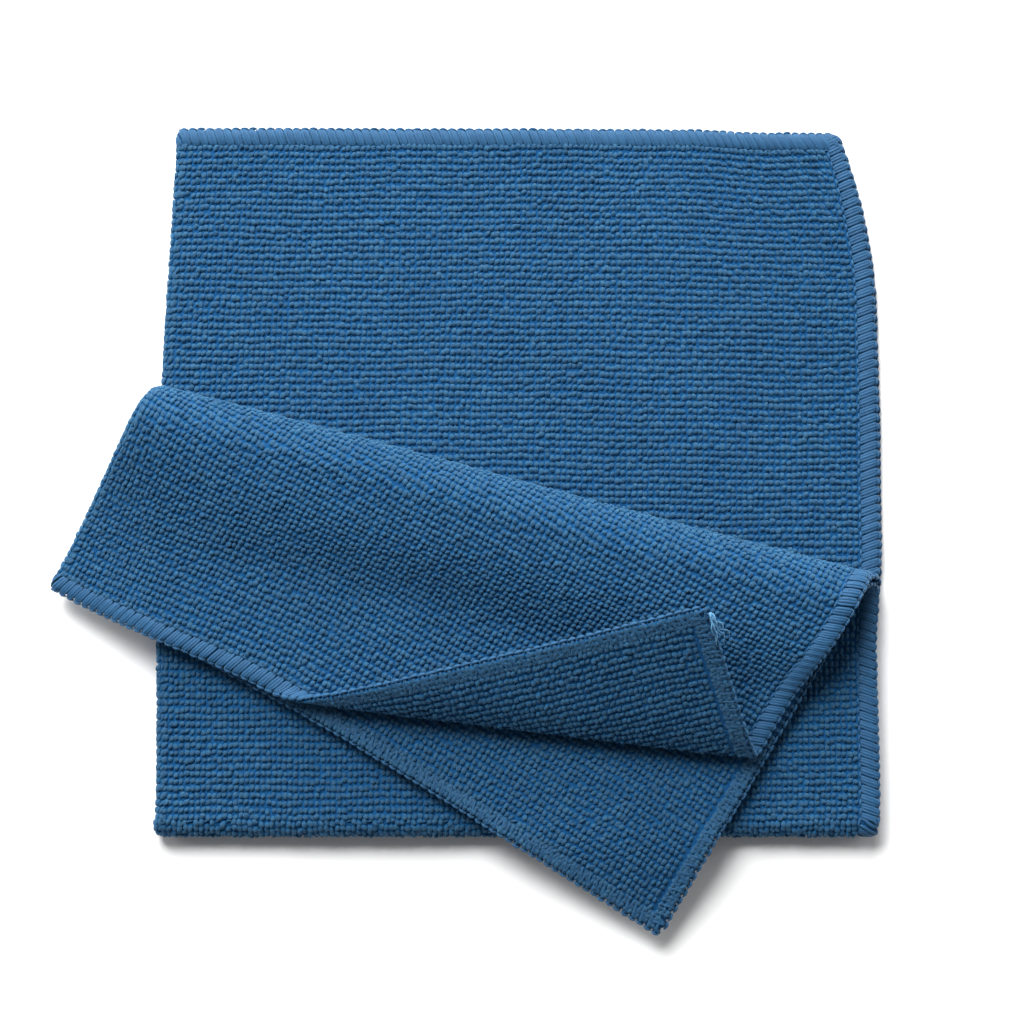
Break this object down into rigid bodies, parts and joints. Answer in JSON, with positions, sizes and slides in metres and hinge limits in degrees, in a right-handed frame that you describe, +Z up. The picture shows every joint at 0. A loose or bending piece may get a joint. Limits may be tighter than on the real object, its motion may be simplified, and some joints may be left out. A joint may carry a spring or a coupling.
{
  "type": "folded microfibre polishing cloth",
  "caption": "Square looped-pile microfibre polishing cloth with overlocked hems, folded in half and then in three, with one front corner turned back.",
  "frame": {"origin": "centre of the bounding box on the surface that the cloth lies on", "axes": "+Z up through the thickness of the folded cloth, -Y towards the front fold, +X towards the side hems; the cloth's back hem and front fold run along X"},
  "size_m": [0.1726, 0.171, 0.0349],
  "materials": {
    "terry_cloth": "mid blue looped microfibre pile on both faces, matt with a soft sheen",
    "looper_thread": "mid blue texturised polyester looper threads wrapped round the edge, slight sheen",
    "needle_thread": "mid blue spun polyester needle thread",
    "thread_tail": "lighter blue chained thread end, matt"
  },
  "bodies": {
    "base": {"back_hem_lower": "looper_thread", "back_hem_turn": "looper_thread", "back_hem_upper": "looper_thread", "back_stitches_lower": "needle_thread", "back_stitches_upper": "needle_thread", "bottom_leaf_lower": "terry_cloth", "bottom_leaf_upper": "terry_cloth", "bottom_side_fold": "terry_cloth", "bottom_side_hem_lower": "looper_thread", "bottom_side_hem_upper": "looper_thread", "bottom_side_stitches_lower": "needle_thread", "bottom_side_stitches_upper": "needle_thread", "flap_fold_hem_inner": "looper_thread", "flap_fold_hem_outer": "looper_thread", "flap_fold_inner": "terry_cloth", "flap_fold_outer": "terry_cloth", "front_fold_hem_inner": "looper_thread", "front_fold_hem_outer": "looper_thread", "front_fold_inner": "terry_cloth", "front_fold_outer": "terry_cloth", "middle_leaf_lower": "terry_cloth", "middle_leaf_upper": "terry_cloth", "middle_side_fold": "terry_cloth", "middle_side_hem_lower": "looper_thread", "middle_side_hem_upper": "looper_thread", "middle_side_stitches_lower": "needle_thread", "middle_side_stitches_upper": "needle_thread"},
    "flap": {"crease_fold": "terry_cloth", "crease_front_hem": "looper_thread", "crease_side_hem": "looper_thread", "flap_front_hem_lower": "looper_thread", "flap_front_hem_upper": "looper_thread", "flap_front_stitches_lower": "needle_thread", "flap_front_stitches_upper": "needle_thread", "flap_hem_turn": "looper_thread", "flap_leaf_lower": "terry_cloth", "flap_leaf_upper": "terry_cloth", "flap_side_fold": "terry_cloth", "flap_side_hem_lower": "looper_thread", "flap_side_hem_upper": "looper_thread", "flap_side_stitches_lower": "needle_thread", "flap_side_stitches_upper": "needle_thread"},
    "corner": {"corner_front_hem": "looper_thread", "corner_front_stitches": "needle_thread", "corner_leaf": "terry_cloth", "corner_side_hem": "looper_thread", "corner_side_stitches": "needle_thread", "corner_thread_tail": "thread_tail"}
  },
  "joints": [
    {"name": "flap_fold", "type": "hinge", "parent": "base", "child": "flap", "pos_m": [0.08543, -0.01301, 0.00688], "axis": [-0.9659, 0.2588, 0], "range_deg": [0, 115], "deforming": ["flap_fold_hem_inner", "flap_fold_hem_outer", "flap_fold_inner", "flap_fold_outer"]},
    {"name": "corner_crease", "type": "hinge", "parent": "flap", "child": "corner", "pos_m": [-0.04129, -0.03649, 0.0104], "axis": [0.9913, -0.1313, 0], "range_deg": [-20, 118], "stiffness_Nm_per_rad": 0.0005, "deforming": ["crease_fold", "crease_front_hem", "crease_side_hem"]}
  ]
}
